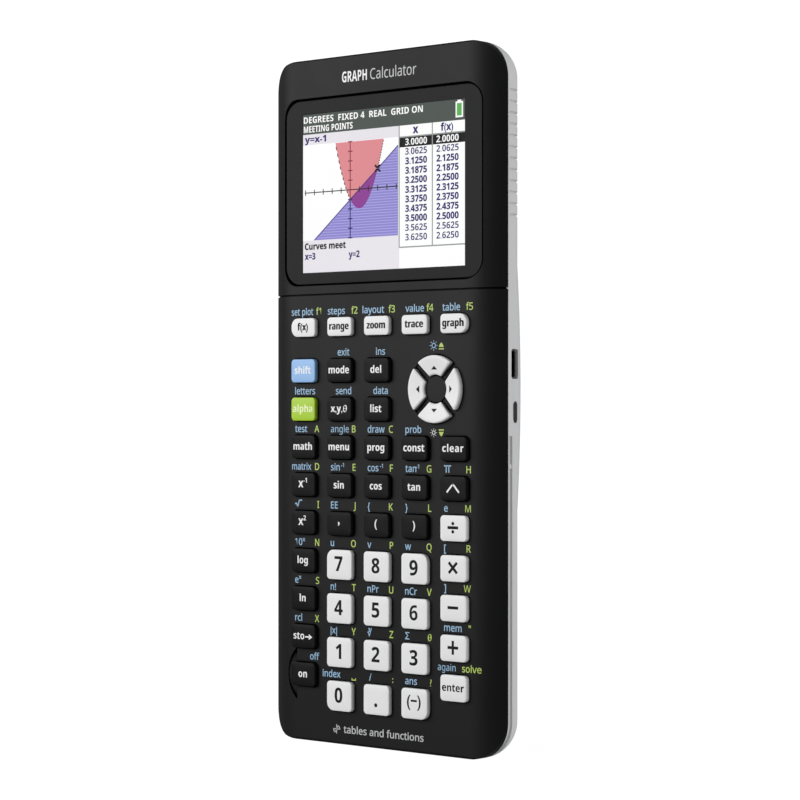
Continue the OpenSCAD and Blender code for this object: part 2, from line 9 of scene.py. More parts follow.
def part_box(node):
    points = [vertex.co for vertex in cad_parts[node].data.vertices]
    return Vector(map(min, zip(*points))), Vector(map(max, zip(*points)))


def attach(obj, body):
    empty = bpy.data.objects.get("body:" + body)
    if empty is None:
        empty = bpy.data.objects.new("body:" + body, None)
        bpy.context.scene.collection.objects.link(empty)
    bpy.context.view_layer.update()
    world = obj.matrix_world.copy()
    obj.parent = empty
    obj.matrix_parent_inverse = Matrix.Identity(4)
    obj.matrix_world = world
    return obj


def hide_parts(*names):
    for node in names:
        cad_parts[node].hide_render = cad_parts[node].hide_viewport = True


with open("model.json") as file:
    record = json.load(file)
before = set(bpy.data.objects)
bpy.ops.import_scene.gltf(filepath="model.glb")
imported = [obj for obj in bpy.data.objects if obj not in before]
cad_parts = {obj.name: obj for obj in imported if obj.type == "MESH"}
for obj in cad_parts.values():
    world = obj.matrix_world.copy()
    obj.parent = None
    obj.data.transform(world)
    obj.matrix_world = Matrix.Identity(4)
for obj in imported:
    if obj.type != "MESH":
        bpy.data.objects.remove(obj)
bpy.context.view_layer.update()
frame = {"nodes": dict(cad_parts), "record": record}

# Lengths are in millimetres until a mesh is finished, when they become metres.
MM = 0.001


# ---- Sizes read from the frame ----

def box_mm(node):
    """Lowest and highest corner of a CAD node, in millimetres."""
    low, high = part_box(node)
    return low / MM, high / MM


face_z = box_mm("front_case")[1].z
window_low, window_high = box_mm("screen_window")
half_width = box_mm("front_case")[1].x
half_length = box_mm("front_case")[1].y

# Flat part of the key face and the rounded shoulders beside it
FACE_HALF_WIDTH = 31.2
SHOULDER_RADIUS = 16.3

# Parts of a key below its cap
FLANGE_LIP = 0.7
FLANGE_THICKNESS = 0.8
STEM_RADIUS = 1.32
SMALL_CORNER = 1.1
BIG_CORNER = 2.3

# Printing on keys and on the face
INK_DEPTH = 0.02


# ---- Outlines ----

def arc_points(centre, radius, start, end, steps):
    """Points of an arc in degrees, both ends included."""
    angles = [math.radians(start + (end - start) * i / steps) for i in range(steps + 1)]
    return [(centre[0] + radius * math.cos(a), centre[1] + radius * math.sin(a)) for a in angles]


def rounded_outline(width, height, radii, grow=0.0, steps=6):
    """A rectangle with its own radius at each corner, anticlockwise.
    radii are top left, top right, bottom right, bottom left."""
    top_left, top_right, bottom_right, bottom_left = radii
    a, b = width / 2 + grow, height / 2 + grow
    points = []
    for sx, sy, radius, start in (
        (1, 1, top_right, 0), (-1, 1, top_left, 90), (-1, -1, bottom_left, 180), (1, -1, bottom_right, 270),
    ):
        r = max(radius + grow, 0.05)
        points += arc_points((sx * (a - r), sy * (b - r)), r, start, start + 90, steps)
    return points


def arrow_outline(outer, inner, gap, grow=0.0, corner=0.35, steps=14):
    """A quarter of a ring that points along +X, with straight sides and small rounded corners."""
    big, small, offset = outer + grow, inner - grow, gap / 2 - grow
    turn = Matrix.Rotation(math.radians(45), 2)
    # in these coordinates x runs along the upper side and y points away from the key
    far = Vector((math.sqrt((big - corner) ** 2 - (offset + corner) ** 2), -offset - corner))
    near = Vector((math.sqrt((small + corner) ** 2 - (offset + corner) ** 2), -offset - corner))
    far_angle = math.degrees(math.atan2(far.y, far.x))
    near_angle = math.degrees(math.atan2(near.y, near.x))
    side = arc_points(far, corner, far_angle, 90, 4) + arc_points(near, corner, 90, near_angle + 180, 4)
    upper = arc_points((0, 0), big, 0, 45 + far_angle, steps)[:-1]
    upper += [tuple(turn @ Vector(p)) for p in side]
    upper += arc_points((0, 0), small, 45 + near_angle, 0, steps)[1:]
    lower = [(x, -y) for x, y in reversed(upper)]
    return upper + lower[1:-1]


def turned(points, degrees, centre=(0, 0)):
    turn = Matrix.Rotation(math.radians(degrees), 2)
    return [tuple(turn @ Vector(p) + Vector(centre)) for p in points]


# ---- Mesh building ----

def add_loft(bm, rings, material=0):
    """A closed solid through rings of (outline, z); every outline has the same number of points."""
    loops = [[bm.verts.new((x, y, z)) for x, y in outline] for outline, z in rings]
    faces = [bm.faces.new(list(reversed(loops[0]))), bm.faces.new(loops[-1])]
    for below, above in zip(loops, loops[1:]):
        for i in range(len(below)):
            j = (i + 1) % len(below)
            faces.append(bm.faces.new((below[i], below[j], above[j], above[i])))
    for face in faces:
        face.material_index = material
    return faces


def add_prism(bm, outline, low, high, material=0):
    """A flat-topped closed solid over an anticlockwise outline."""
    return add_loft(bm, [(outline, low), (outline, high)], material)


def add_stroke(bm, start, end, width, low, high, material=0):
    """A straight printed line."""
    a, b = Vector(start), Vector(end)
    side = (b - a).normalized().orthogonal() * width / 2
    add_prism(bm, [tuple(p) for p in (a - side, a + side, b + side, b - side)][::-1], low, high, material)


# First letters and first digit of the plain and the heavy sans-serif alphabets
PLAIN_SANS = (0x1D5A0, 0x1D5BA, 0x1D7E2)
HEAVY_SANS = (0x1D5D4, 0x1D5EE, 0x1D7EC)
GREEK = {"θ": chr(0x1D6C9)}


def sans(text, heavy):
    """The same text in a sans-serif alphabet."""
    made = ""
    for c in text:
        for first, last, start in zip("Aa0", "Zz9", HEAVY_SANS if heavy else PLAIN_SANS):
            if first <= c <= last:
                made += chr(start + ord(c) - ord(first))
                break
        else:
            made += GREEK.get(c, c)
    return made


def text_mesh(text, heavy, bold, lean):
    """Lettering one unit high, one unit thick, on the baseline."""
    curve = bpy.data.curves.new("lettering", "FONT")
    curve.body = sans(text, heavy)
    # thickening would close the loops of these
    curve.offset = 0.0 if set(text) & set("g6?MW") else bold
    curve.shear = lean
    curve.extrude = 0.5
    # keeps the c and the l apart
    curve.space_character = 1.1 if text == "clear" else 1.0
    curve.resolution_u = 3
    holder = bpy.data.objects.new("lettering", curve)
    bpy.context.scene.collection.objects.link(holder)
    graph = bpy.context.evaluated_depsgraph_get()
    mesh = bpy.data.meshes.new_from_object(holder.evaluated_get(graph))
    bpy.data.objects.remove(holder)
    bpy.data.curves.remove(curve)
    return mesh


def add_text(bm, text, x, y, z, size, width=None, stretch=1.0, heavy=False, bold=0.0, lean=0.0,
             align="centre", middle=False, material=0, depth=INK_DEPTH):
    """Printed lettering. y is the baseline, or the middle of the letters when middle is set."""
    mesh = text_mesh(text, heavy, bold, lean)
    xs = [v.co.x for v in mesh.vertices]
    ys = [v.co.y for v in mesh.vertices]
    left, right = min(xs), max(xs)
    scale = width / (right - left) if width else size * stretch
    anchor = {"left": left, "centre": (left + right) / 2, "right": right}[align]
    drop = (min(ys) + max(ys)) / 2 if middle else 0.0
    mesh.transform(Matrix.Translation((x - anchor * scale, y - drop * size, z + depth / 2))
                   @ Matrix.Diagonal((scale, size, depth, 1)))
    for polygon in mesh.polygons:
        polygon.material_index = material
    bm.from_mesh(mesh)
    bpy.data.meshes.remove(mesh)


def finish_piece(bm, name, materials, body, smooth=35):
    """Turns a mesh in millimetres into a piece that rides on a body."""
    bmesh.ops.scale(bm, vec=(MM, MM, MM), verts=bm.verts)
    mesh = bpy.data.meshes.new(name)
    bm.to_mesh(mesh)
    bm.free()
    for material in materials:
        mesh.materials.append(material)
    mesh.polygons.foreach_set("use_smooth", [smooth > 0] * len(mesh.polygons))
    mesh.set_sharp_from_angle(angle=math.radians(smooth))
    piece = bpy.data.objects.new(name, mesh)
    bpy.context.scene.collection.objects.link(piece)
    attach(piece, body)
    return piece


# ---- Materials ----

def srgb(red, green, blue):
    """A display colour, 0 to 255, as a linear colour."""
    def linear(value):
        c = value / 255
        return c / 12.92 if c <= 0.04045 else ((c + 0.055) / 1.055) ** 2.4
    return (linear(red), linear(green), linear(blue), 1.0)


def scaled(colour, factor):
    return tuple(min(c * factor, 1.0) for c in colour[:3]) + (1.0,)


def new_material(name):
    material = bpy.data.materials.new(name)
    material.use_nodes = True
    material.node_tree.nodes.clear()
    return material, material.node_tree


def node(tree, kind, inputs=None, **settings):
    """A shader node with its settings and its inputs, which are values or other nodes' outputs."""
    made = tree.nodes.new("ShaderNode" + kind)
    for key, value in settings.items():
        setattr(made, key, value)
    for key, value in (inputs or {}).items():
        if isinstance(value, bpy.types.NodeSocket):
            tree.links.new(value, made.inputs[key])
        else:
            made.inputs[key].default_value = value
    return made


def calculate(tree, operation, a, b=0.0):
    return node(tree, "Math", {0: a, 1: b}, operation=operation).outputs[0]


def noise(tree, place, size, detail=2.0):
    """Smooth noise with features of about this size in millimetres."""
    made = node(tree, "TexNoise", {"Vector": place, "Scale": 1 / (size * MM), "Detail": detail})
    return made.outputs["Fac"]


def output(tree, shader):
    node(tree, "OutputMaterial", {"Surface": shader})


def surface(tree, colour, roughness, place, grain=0.3, grain_depth=0.004, mottle=0.05, edge=0.12,
            specular=0.5, metallic=0.0, coat=0.0, crevice=0.0):
    """A principled shader with broad colour variation, fine roughness and grain, softened edges and, when a
    gap size is given, painted shade: ambient occlusion darkens the colour and the shine in gaps narrower
    than about that size."""
    broad = noise(tree, place, 18.0, 3.0)
    fine = noise(tree, place, grain)
    value = node(tree, "MapRange", {"Value": broad, "To Min": 1 - mottle, "To Max": 1 + mottle}).outputs[0]
    tint = node(tree, "HueSaturation", {"Value": value, "Color": colour}).outputs["Color"]
    rough = node(tree, "MapRange", {
        "Value": calculate(tree, "ADD", calculate(tree, "MULTIPLY", fine, 0.5),
                           calculate(tree, "MULTIPLY", broad, 0.5)),
        "From Min": 0.3, "From Max": 0.7, "To Min": roughness - 0.05, "To Max": roughness + 0.05,
    }).outputs[0]
    if crevice:
        # painted shade: the colour and the shine go dark in narrow gaps and on walls close to other
        # surfaces
        open_sky = node(tree, "AmbientOcclusion", {"Distance": crevice * MM}, samples=6).outputs["AO"]
        light = node(tree, "MapRange", {"Value": open_sky, "From Min": 0.35, "From Max": 0.8}).outputs[0]
        tint = node(tree, "MixRGB", {"Fac": light, "Color1": (0, 0, 0, 1), "Color2": tint}).outputs["Color"]
        specular = calculate(tree, "MULTIPLY", light, specular)
    soft = node(tree, "Bevel", {"Radius": edge * MM}, samples=4).outputs["Normal"]
    bump = node(tree, "Bump", {"Height": fine, "Distance": grain_depth * MM, "Normal": soft})
    return node(tree, "BsdfPrincipled", {
        "Base Color": tint, "Roughness": rough, "Metallic": metallic, "Specular IOR Level": specular,
        "Coat Weight": coat, "Coat Roughness": 0.15, "Normal": bump.outputs["Normal"],
    }).outputs["BSDF"]


def plain_material(name, colour, roughness, **details):
    material, tree = new_material(name)
    place = node(tree, "TexCoord").outputs["Object"]
    output(tree, surface(tree, colour, roughness, place, **details))
    return material


def inside_circle(tree, x, y, centre, radius):
    """1 within a circle given in millimetres, 0 outside it."""
    across = calculate(tree, "SUBTRACT", x, centre[0] * MM)
    along = calculate(tree, "SUBTRACT", y, centre[1] * MM)
    squared = calculate(tree, "ADD", calculate(tree, "MULTIPLY", across, across),
                        calculate(tree, "MULTIPLY", along, along))
    return calculate(tree, "LESS_THAN", squared, (radius * MM) ** 2)


# Rubber pads on the feet
PAD_RADIUS = 3.6
PAD_HEIGHT = 0.7


def rear_material():
    """Light grey moulding, with rubber where it stands on its feet."""
    material, tree = new_material("rear_plastic")
    place = node(tree, "TexCoord").outputs["Object"]
    axes = node(tree, "SeparateXYZ", {"Vector": place}).outputs
    foot = [m for m in frame["record"]["mounts"] if m["kind"] == "flat_face"][0]
    foot_x, foot_y = (abs(c) / MM for c in foot["pos_m"][:2])
    x, y = (calculate(tree, "ABSOLUTE", axes[axis]) for axis in "XY")
    pad = inside_circle(tree, x, y, (foot_x, foot_y), PAD_RADIUS)
    pad = calculate(tree, "MULTIPLY", pad, calculate(tree, "LESS_THAN", axes["Z"], PAD_HEIGHT * MM))
    shell = surface(tree, REAR_GREY, 0.36, place, grain=0.35, grain_depth=0.003, mottle=0.02)
    rubber = surface(tree, srgb(70, 70, 72), 0.75, place, grain=0.5, grain_depth=0.02, specular=0.3)
    mixed = node(tree, "MixShader", {0: pad, 1: shell, 2: rubber})
    output(tree, mixed.outputs[0])
    return material


def window_material(half_x, half_y, centre_y):
    """Clear over the picture and printed dark round it; its upright edges are painted near black as shade
    in the groove round it.
    """
    material, tree = new_material("window")
    place = node(tree, "TexCoord").outputs["Object"]
    axes = node(tree, "SeparateXYZ", {"Vector": place}).outputs
    across = calculate(tree, "LESS_THAN", calculate(tree, "ABSOLUTE", axes["X"]), half_x * MM)
    along = calculate(tree, "SUBTRACT", axes["Y"], centre_y * MM)
    along = calculate(tree, "LESS_THAN", calculate(tree, "ABSOLUTE", along), half_y * MM)
    border = surface(tree, FRONT_GREY, 0.3, place, grain=0.6, grain_depth=0.0008, mottle=0.04,
                     specular=WINDOW_SPECULAR)
    clear = node(tree, "BsdfTransparent", {"Color": (0.97, 0.975, 0.97, 1)}).outputs[0]
    gloss = node(tree, "BsdfGlossy", {"Color": (1, 1, 1, 1), "Roughness": 0.25}).outputs[0]
    shine = calculate(tree, "MULTIPLY", node(tree, "Fresnel", {"IOR": 1.3}).outputs[0], 0.25)
    glass = node(tree, "MixShader", {0: shine, 1: clear, 2: gloss}).outputs[0]
    normal = node(tree, "NewGeometry").outputs["Normal"]
    upright = node(tree, "SeparateXYZ", {"Vector": normal}).outputs["Z"]
    side = calculate(tree, "LESS_THAN", calculate(tree, "ABSOLUTE", upright), 0.5)
    # painted shade: the window's upright edges are near black, standing in for the shadow in the groove
    # round the window
    black = surface(tree, srgb(6, 6, 6), 0.6, place, specular=0.02)
    border_and_groove_shade = node(tree, "MixShader", {0: side, 1: border, 2: black}).outputs[0]
    mixed = node(tree, "MixShader", {0: calculate(tree, "MULTIPLY", across, along), 1: border_and_groove_shade, 2: glass})
    output(tree, mixed.outputs[0])
    return material


def picture_material(name, colour):
    """A lit part of the display, with a faint backlight falloff."""
    material, tree = new_material("picture_" + name)
    place = node(tree, "TexCoord").outputs["Object"]
    falloff = node(tree, "MapRange", {"Value": noise(tree, place, 30.0), "To Min": 0.96, "To Max": 1.04})
    output(tree, node(tree, "Emission", {"Color": colour, "Strength": falloff.outputs[0]}).outputs[0])
    return material


def board_material():
    """Solder-masked board with copper tracks under the mask; the socket shell is bare metal."""
    material, tree = new_material("circuit_board")
    place = node(tree, "TexCoord").outputs["Object"]
    axes = node(tree, "SeparateXYZ", {"Vector": place}).outputs
    tracks = node(tree, "TexBrick", {
        "Vector": place, "Scale": 120.0, "Mortar Size": 0.03, "Color1": srgb(10, 62, 34),
        "Color2": srgb(14, 74, 40), "Mortar": srgb(60, 120, 60),
    }).outputs["Color"]
    board = surface(tree, tracks, 0.4, place)
    shell = surface(tree, srgb(190, 190, 192), 0.28, place, metallic=1.0, grain=0.2, grain_depth=0.001)
    part = surface(tree, srgb(18, 18, 19), 0.5, place)
    across = calculate(tree, "SUBTRACT", axes["Y"], SOCKET_Y * MM)
    at_socket = calculate(tree, "LESS_THAN", calculate(tree, "ABSOLUTE", across), 4.1 * MM)
    beside = calculate(tree, "GREATER_THAN", axes["X"], (half_width - SOCKET_DEPTH) * MM)
    metal = calculate(tree, "MULTIPLY", beside, at_socket)
    off_board = calculate(tree, "ADD", calculate(tree, "LESS_THAN", axes["Z"], BOARD_UNDERSIDE * MM),
                          calculate(tree, "GREATER_THAN", axes["Z"], (BOARD_UNDERSIDE + 1.2) * MM))
    off_board = calculate(tree, "ADD", off_board,
                          calculate(tree, "GREATER_THAN", axes["X"], (half_width - BOARD_SETBACK) * MM))
    off_board = calculate(tree, "MINIMUM", off_board, 1.0)
    chips = node(tree, "MixShader", {0: off_board, 1: board, 2: part}).outputs[0]
    output(tree, node(tree, "MixShader", {0: metal, 1: chips, 2: shell}).outputs[0])
    return material


# Where the board and its socket lie: heights, and distances from the side of the body
BOARD_UNDERSIDE = 9.25
BOARD_SETBACK = 4.15
SOCKET_Y = 9.45
SOCKET_DEPTH = 9.1

# Colours and shine that several materials share
FRONT_GREY = scaled(srgb(30, 30, 31), 0.75)
REAR_GREY = srgb(212, 213, 214)
FRONT_SPECULAR = 0.105
WINDOW_SPECULAR = 0.05

INK_BLUE = plain_material("ink_blue", srgb(152, 191, 221), 0.5, grain=0.2, mottle=0.06, edge=0.01)
INK_GREEN = plain_material("ink_green", srgb(184, 210, 92), 0.5, grain=0.2, mottle=0.06, edge=0.01)
INK_WHITE = plain_material("ink_white", srgb(246, 246, 246), 0.5, grain=0.2, mottle=0.03, edge=0.01)
INK_SILVER = plain_material("ink_silver", srgb(196, 197, 198), 0.5, grain=0.2, mottle=0.03, edge=0.01)
INK_BLACK = plain_material("ink_black", srgb(18, 18, 19), 0.5, grain=0.2, mottle=0.1, specular=0.12,
                           edge=0.01)
LENS = plain_material("smoked_lens", srgb(58, 58, 60), 0.4, grain=0.5, specular=0.2)
INK_LIME = plain_material("ink_lime", srgb(240, 252, 196), 0.5, grain=0.2, mottle=0.03, edge=0.01)

# Width of the gaps that get painted shade, and how far the painted shade reaches up a key's walls
PAINTED_SHADE_GAP = 1.6
WALL_SHADE = 3.0


# white, blue and green keys, with painted shade on their walls
def bright_key(name, colour):
    return plain_material(name, colour, 0.36, mottle=0.015, specular=0.25, edge=0.05, crevice=WALL_SHADE)


FINISHES = {
    "key_white": bright_key("key_white", srgb(241, 241, 241)),
    "key_black": plain_material("key_black", scaled(srgb(28, 28, 28), 0.75), 0.42, mottle=0.06,
                                specular=0.06, crevice=PAINTED_SHADE_GAP),
    "key_blue": bright_key("key_blue", srgb(152, 194, 242)),
    "key_green": bright_key("key_green", srgb(174, 214, 50)),
}
INKS = {"key_white": INK_BLACK, "key_black": INK_WHITE, "key_blue": INK_WHITE, "key_green": INK_LIME}


# ---- Keys ----

# node: finish, legend on the key, blue legend above it, green legend above it
KEYS = {
    "key_fx": ("key_white", "f(x)", "set plot", "f1"),
    "key_range": ("key_white", "range", "steps", "f2"),
    "key_zoom": ("key_white", "zoom", "layout", "f3"),
    "key_trace": ("key_white", "trace", "value", "f4"),
    "key_graph": ("key_white", "graph", "table", "f5"),
    "key_shift": ("key_blue", "shift", "", ""),
    "key_mode": ("key_black", "mode", "exit", ""),
    "key_delete": ("key_black", "del", "ins", ""),
    "key_alpha": ("key_green", "alpha", "letters", ""),
    "key_variable": ("key_black", "x,y,θ", "send", ""),
    "key_list": ("key_black", "list", "data", ""),
    "key_math": ("key_black", "math", "test", "A"),
    "key_menu": ("key_black", "menu", "angle", "B"),
    "key_program": ("key_black", "prog", "draw", "C"),
    "key_constants": ("key_black", "const", "prob", ""),
    "key_clear": ("key_black", "clear", "", ""),
    "key_inverse": ("key_black", "x⁻¹", "matrix", "D"),
    "key_sine": ("key_black", "sin", "sin⁻¹", "E"),
    "key_cosine": ("key_black", "cos", "cos⁻¹", "F"),
    "key_tangent": ("key_black", "tan", "tan⁻¹", "G"),
    "key_power": ("key_black", "^", "π", "H"),
    "key_square": ("key_black", "x²", "√", "I"),
    "key_comma": ("key_black", ",", "EE", "J"),
    "key_open_bracket": ("key_black", "(", "{", "K"),
    "key_close_bracket": ("key_black", ")", "}", "L"),
    "key_divide": ("key_white", "÷", "e", "M"),
    "key_log": ("key_black", "log", "10ˣ", "N"),
    "key_7": ("key_white", "7", "u", "O"),
    "key_8": ("key_white", "8", "v", "P"),
    "key_9": ("key_white", "9", "w", "Q"),
    "key_multiply": ("key_white", "×", "[", "R"),
    "key_ln": ("key_black", "ln", "eˣ", "S"),
    "key_4": ("key_white", "4", "n!", "T"),
    "key_5": ("key_white", "5", "nPr", "U"),
    "key_6": ("key_white", "6", "nCr", "V"),
    "key_subtract": ("key_white", "−", "]", "W"),
    "key_store": ("key_black", "sto→", "rcl", "X"),
    "key_1": ("key_white", "1", "|x|", "Y"),
    "key_2": ("key_white", "2", "∛", "Z"),
    "key_3": ("key_white", "3", "Σ", "θ"),
    "key_add": ("key_white", "+", "mem", "\""),
    "key_on": ("key_black", "on", "off", ""),
    "key_0": ("key_white", "0", "index", "␣"),
    "key_point": ("key_white", ".", "i", ":"),
    "key_negative": ("key_white", "(−)", "ans", "?"),
    "key_enter": ("key_white", "enter", "again", "solve"),
}
# which corners of a key are the large ones: top left, top right, bottom right, bottom left
BIG_CORNERS = {
    "key_fx": (1, 0, 0, 1), "key_graph": (0, 1, 1, 0), "key_7": (1, 0, 0, 0), "key_9": (0, 1, 0, 0),
    "key_0": (0, 0, 0, 1), "key_negative": (0, 0, 1, 0),
}
# the arrow keys, by the way that they point
ARROWS = {"arrow_right": 0, "arrow_up": 90, "arrow_left": 180, "arrow_down": 270}
ARROW_OUTER = 9.1
ARROW_INNER = 3.9
ARROW_GAP = 2.0
ARROW_RIM = 8.3
ARROW_DISH = 0.6
ARROW_MARK_RADIUS = 5.75
ARROW_STEM_RADIUS = 6.4

# Rounding round the top of a key, and the rise of its middle
TOP_FILLET = 0.24
CROWN = 0.1


def cap_rings(outline, flange, stem_z, top_z, insets):
    """Flange, straight cap, rounded top edge and a slightly crowned top."""
    flange_bottom = stem_z + 0.6
    flange_top = flange_bottom + FLANGE_THICKNESS
    edge_z = top_z - CROWN - TOP_FILLET
    rings = [(flange, flange_bottom), (flange, flange_top), (outline(0.0), flange_top)]
    rings.append((outline(0.0), edge_z))
    for step in range(1, 5):
        a = math.radians(90 * step / 4)
        rings.append((outline(-TOP_FILLET * (1 - math.cos(a))), edge_z + TOP_FILLET * math.sin(a)))
    for inset, share in insets:
        rings.append((outline(-TOP_FILLET - inset), top_z - CROWN * (1 - share)))
    return rings


def moved(rings, x, y):
    return [([(px + x, py + y) for px, py in outline], z) for outline, z in rings]


def add_stem(bm, x, y, stem_z):
    add_loft(bm, [(arc_points((x, y), STEM_RADIUS - 0.15, 0, 345, 23), stem_z),
                  (arc_points((x, y), STEM_RADIUS, 0, 345, 23), stem_z + 0.15),
                  (arc_points((x, y), STEM_RADIUS, 0, 345, 23), stem_z + 0.7)])


def key_frame(name):
    """Centre, cap size and heights of a key, from its CAD box."""
    low, high = box_mm(name)
    centre = (low + high) / 2
    width, height = high.x - low.x - 2 * FLANGE_LIP, high.y - low.y - 2 * FLANGE_LIP
    return centre.x, centre.y, width, height, low.z, high.z


def build_key(name):
    finish = KEYS[name][0]
    x, y, width, height, stem_z, top_z = key_frame(name)
    radii = [BIG_CORNER if big else SMALL_CORNER for big in BIG_CORNERS.get(name, (0, 0, 0, 0))]
    def outline(grow):
        return rounded_outline(width, height, radii, grow)
    bm = bmesh.new()
    rings = cap_rings(outline, outline(FLANGE_LIP), stem_z, top_z, ((0.6, 0.5), (1.6, 1.0)))
    add_loft(bm, moved(rings, x, y))
    add_stem(bm, x, y, stem_z)
    piece = finish_piece(bm, name + "_cap", [FINISHES[finish]], name)
    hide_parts(name)


def sink_dish(bm, centre, above):
    """Lowers everything above a height onto the dish that the arrow keys share."""
    for vert in bm.verts:
        if vert.co.z > above:
            radius = math.hypot(vert.co.x - centre[0], vert.co.y - centre[1])
            share = (ARROW_RIM - radius) / (ARROW_RIM - ARROW_INNER)
            vert.co.z -= ARROW_DISH * min(max(share, 0.0), 1.0)


def build_arrow(name, degrees, centre):
    low, high = box_mm(name)
    def outline(grow):
        return turned(arrow_outline(ARROW_OUTER, ARROW_INNER, ARROW_GAP, grow), degrees, centre)
    flange = arrow_outline(ARROW_OUTER + FLANGE_LIP, ARROW_INNER - FLANGE_LIP, ARROW_GAP)
    flange = turned(flange, degrees, centre)
    bm = bmesh.new()
    insets = [(0.1 + 0.4 * i, 1.0) for i in range(5)]
    add_loft(bm, cap_rings(outline, flange, low.z, high.z, insets))
    sink_dish(bm, centre, face_z + 0.5)
    stem = turned([(ARROW_STEM_RADIUS, 0)], degrees, centre)[0]
    add_stem(bm, *stem, low.z)
    piece = finish_piece(bm, name + "_cap", [FINISHES["key_white"]], name)
    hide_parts(name)
    base, tip = ARROW_MARK_RADIUS - 0.5, ARROW_MARK_RADIUS + 0.5
    bm = bmesh.new()
    add_prism(bm, turned([(base, -1.0), (tip, 0), (base, 1.0)], degrees, centre), high.z - 0.01,
              high.z + INK_DEPTH)
    sink_dish(bm, centre, face_z)
    finish_piece(bm, name + "_mark", [INK_BLACK], name, smooth=0)


# Lettering on the keys
DIGIT_SIZE = 5.67
WORD_SIZE = 2.8
OPERATOR_SIZE = 7.4
BRACKET_SIZE = 2.9
COMMA_SIZE = 3.7
SIGN_CHANGE_SIZE = 4.3
VARIABLE_SIZE = 3.4
POWER_SIZE = 1.9
POINT_RADIUS = 0.55
TOP_ROW_WORDS = ("f(x)", "range", "zoom", "trace", "graph")


def add_key_legend(bm, legend, x, y, z):
    if legend in "0123456789":
        add_text(bm, legend, x - 0.1, y + 0.3, z, DIGIT_SIZE, heavy=True, bold=0.006, middle=True)
    elif legend in "÷×−+":
        add_text(bm, legend, x, y + 0.2, z, OPERATOR_SIZE, bold=0.012, middle=True)
    elif legend in "()":
        add_text(bm, legend, x, y + 0.2, z, BRACKET_SIZE, bold=0.025, middle=True)
    elif legend == ",":
        add_text(bm, legend, x, y, z, COMMA_SIZE, bold=0.02, middle=True)
    elif legend == ".":
        add_prism(bm, arc_points((x, y - 1.4), POINT_RADIUS, 0, 345, 23), z, z + INK_DEPTH)
    elif legend == "(−)":
        add_text(bm, legend, x, y + 0.3, z, SIGN_CHANGE_SIZE, bold=0.02, middle=True)
    elif legend == "^":
        for side in (-1, 1):
            add_stroke(bm, (x + side * 2.1, y - 1.0), (x - side * 0.15, y + 1.4), 0.5, z, z + INK_DEPTH)
    elif legend in ("x⁻¹", "x²"):
        add_text(bm, "x", x - 0.7, y - 0.75, z, VARIABLE_SIZE, heavy=True)
        power = legend[1:].replace("⁻¹", "-1").replace("²", "2")
        add_text(bm, power, x + 0.3, y + 0.6, z, POWER_SIZE, heavy=True, align="left")
    elif legend.endswith("→"):
        add_text(bm, legend[:-1], x + 0.6, y - 0.8, z, WORD_SIZE, heavy=True, align="right")
        add_small_arrow(bm, x + 0.95, y - 0.05, z)
    else:
        # two copies side by side print as a heavier word
        stretch, spread = (0.9, 0.085) if legend in TOP_ROW_WORDS else (1.0, 0.02)
        for shift, step in ((-spread, 0.0), (spread, 0.004)):
            add_text(bm, legend, x + shift, y - 0.8, z + step, WORD_SIZE, stretch=stretch, heavy=True)


def add_small_arrow(bm, x, y, z):
    """A short arrow that starts here and points to the right."""
    add_stroke(bm, (x, y), (x + 1.6, y), 0.4, z, z + INK_DEPTH)
    add_prism(bm, [(x + 1.4, y - 0.8), (x + 2.7, y), (x + 1.4, y + 0.8)], z, z + INK_DEPTH)


def build_key_legend(name):
    finish, legend = KEYS[name][:2]
    x, y, width, height, stem_z, top_z = key_frame(name)
    bm = bmesh.new()
    add_key_legend(bm, legend, x, y, top_z - 0.012)
    finish_piece(bm, name + "_legend", [INKS[finish]], name, smooth=0)


# ---- Printing on the face ----

LEGEND_SIZE = 2.65
LEGEND_RISE = 0.9
TITLE_SIZE = 4.1
TITLE_DROP = 7.45
SMALL_BOLD = 0.012
# legends that start further left, that are squeezed, and green ones that end further right
LEGEND_SHIFTS = {
    "set plot": -1.4, "steps": -1.2, "layout": -1.9, "table": -0.6, "matrix": -1.2, "index": -3.0,
    "again": -2.2,
}
LEGEND_WIDTHS = {"set plot": 8.3, "layout": 7.9, "matrix": 7.4, "again": 6.2}
LETTER_SHIFTS = {"solve": 3.2}
# signs made of strokes: the points each line runs through, in millimetres
DRAWN_SIGNS = {
    "√": [[(0.0, 0.95), (0.55, 1.15), (1.0, 0.1), (1.6, 2.0), (2.7, 2.0)]],
    "π": [[(0.0, 1.85), (2.4, 1.85)], [(0.75, 0.0), (0.75, 1.85)], [(1.65, 0.0), (1.65, 1.85)]],
}


def add_sign(bm, sign, x, y, z):
    for line in DRAWN_SIGNS[sign]:
        for (x0, y0), (x1, y1) in zip(line, line[1:]):
            add_stroke(bm, (x + x0, y + y0), (x + x1, y + y1), 0.34, z, z + INK_DEPTH)



